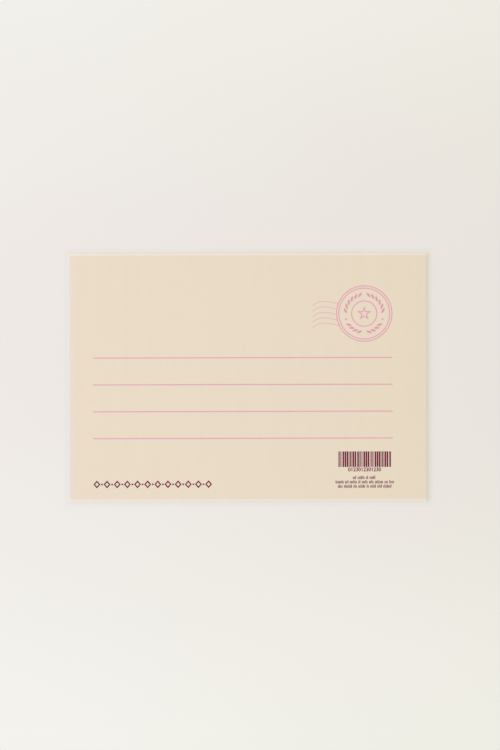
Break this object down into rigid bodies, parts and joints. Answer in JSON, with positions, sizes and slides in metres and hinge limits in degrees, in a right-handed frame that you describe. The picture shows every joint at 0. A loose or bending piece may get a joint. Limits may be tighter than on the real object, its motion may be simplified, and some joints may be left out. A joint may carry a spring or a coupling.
{
  "type": "postcard",
  "caption": "Flat rectangular postcard of layered board: the message side carries writing lines, a ring postmark with wavy strokes and a bar code, the other side a varnished picture.",
  "frame": {"origin": "middle of the picture side, on the surface that the card lies on", "axes": "+X to the reader's right along the long side, +Y to the reader's top edge, +Z out of the message side"},
  "size_m": [0.15, 0.104, 0.0005],
  "materials": {
    "cream_liner": "matt uncoated cream board",
    "white_core": "matt white pulp, cut edge",
    "clay_coat": "smooth white mineral coat",
    "picture_ink": "gloss varnished print",
    "pink_ink": "matt pink ink",
    "burgundy_ink": "matt burgundy ink"
  },
  "bodies": {
    "root": {"message_liner": "cream_liner", "core_ply": "white_core", "picture_liner": "cream_liner", "clay_coating": "clay_coat", "picture_print": "picture_ink", "writing_line_1": "pink_ink", "writing_line_2": "pink_ink", "writing_line_3": "pink_ink", "writing_line_4": "pink_ink", "postmark_outer_ring": "pink_ink", "postmark_second_ring": "pink_ink", "postmark_inner_ring": "pink_ink", "postmark_wave_1": "pink_ink", "postmark_wave_2": "pink_ink", "postmark_wave_3": "pink_ink", "postmark_wave_4": "pink_ink", "postmark_wave_5": "pink_ink", "postmark_wreath": "pink_ink", "postmark_dots": "pink_ink", "postmark_star": "pink_ink", "barcode_bars": "burgundy_ink", "imprint_rows": "burgundy_ink", "footer_ornament": "burgundy_ink"}
  },
  "joints": []
}
